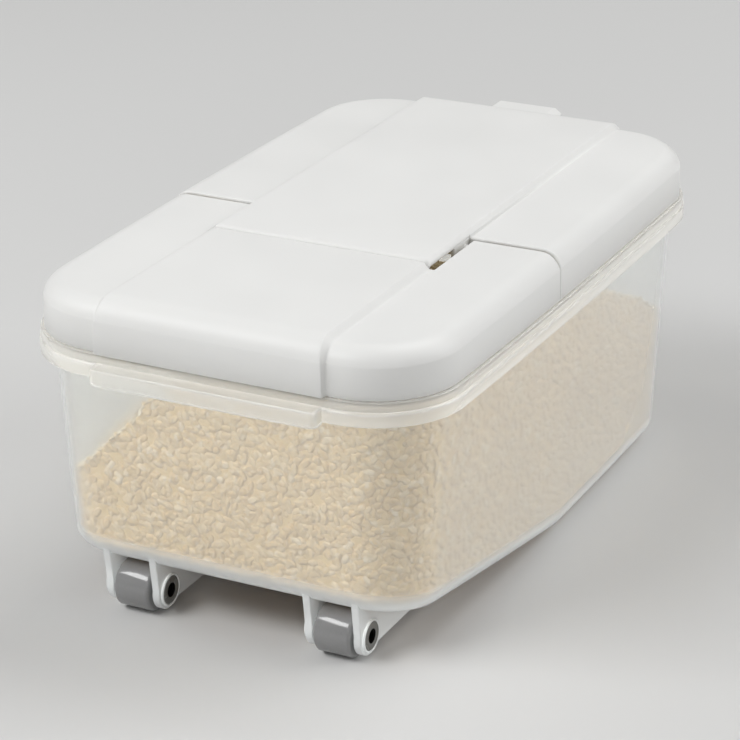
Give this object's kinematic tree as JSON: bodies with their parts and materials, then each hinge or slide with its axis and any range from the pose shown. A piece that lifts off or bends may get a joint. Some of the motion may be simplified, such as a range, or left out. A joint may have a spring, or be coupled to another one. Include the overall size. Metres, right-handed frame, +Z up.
{
  "type": "rice bin",
  "caption": "Long rice storage bin with a clear tapered tub, stepped rim with end grips, a two-part lid whose front half flips up, and rollers under its raised front.",
  "frame": {"origin": "on the floor, under the centre of the rim", "axes": "+X to the bin's right, +Y to its rear (the flip half and the rollers are at -Y), +Z up"},
  "size_m": [0.212, 0.355, 0.1614],
  "materials": {
    "tub_clear": "frosted",
    "lid_white": "satin",
    "flip_white": "satin",
    "pin_white": "satin",
    "axle_grey": "satin",
    "roller_grey": "satin"
  },
  "bodies": {
    "tub": {"tub": "tub_clear", "axle_left": "axle_grey", "axle_right": "axle_grey"},
    "lid": {"rear_lid": "lid_white", "hinge_pin_left": "pin_white", "hinge_pin_right": "pin_white"},
    "flip": {"flip_lid": "flip_white"},
    "roller_left": {"roller_left": "roller_grey"},
    "roller_right": {"roller_right": "roller_grey"}
  },
  "joints": [
    {"name": "lid_lift", "type": "slide", "parent": "tub", "child": "lid", "axis": [0, 0, 1], "range_m": [0, 0.04]},
    {"name": "flip_hinge", "type": "hinge", "parent": "lid", "child": "flip", "pos_m": [0, -0.0252, 0.154], "axis": [-1, 0, 0], "range_deg": [0, 100]},
    {"name": "roller_left_spin", "type": "hinge", "parent": "tub", "child": "roller_left", "pos_m": [-0.0519, -0.1457, 0.0115], "axis": [1, 0, 0], "continuous": true},
    {"name": "roller_right_spin", "type": "hinge", "parent": "tub", "child": "roller_right", "pos_m": [0.0519, -0.1457, 0.0115], "axis": [1, 0, 0], "continuous": true}
  ]
}
